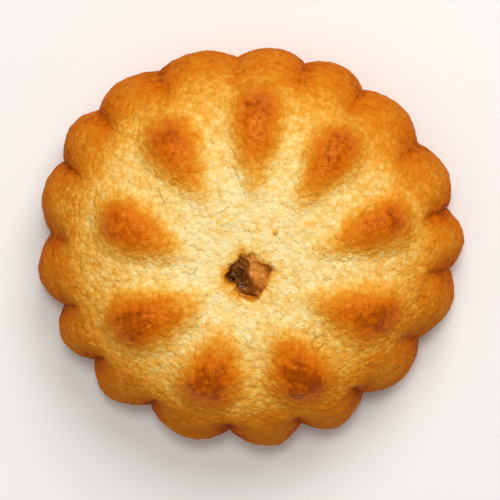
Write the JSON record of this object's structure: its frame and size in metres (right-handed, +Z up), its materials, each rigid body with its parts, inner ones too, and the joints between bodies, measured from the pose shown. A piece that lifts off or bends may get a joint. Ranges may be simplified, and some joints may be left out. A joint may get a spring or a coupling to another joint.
{
  "type": "date-filled maamoul cookie",
  "caption": "Round moulded semolina cookie with a domed top, pressed petals round a small pit of date paste, and a fluted side.",
  "frame": {"origin": "middle of the flat base, on the surface that the cookie stands on", "axes": "+Z up through the dome, +X along the slightly longer way across, the pit lies off the middle towards -Y"},
  "size_m": [0.0483, 0.0453, 0.0182],
  "materials": {
    "dough": "matte",
    "date_paste": "satin"
  },
  "bodies": {
    "root": {"baked_dough": "dough", "date_filling": "date_paste"}
  },
  "joints": []
}
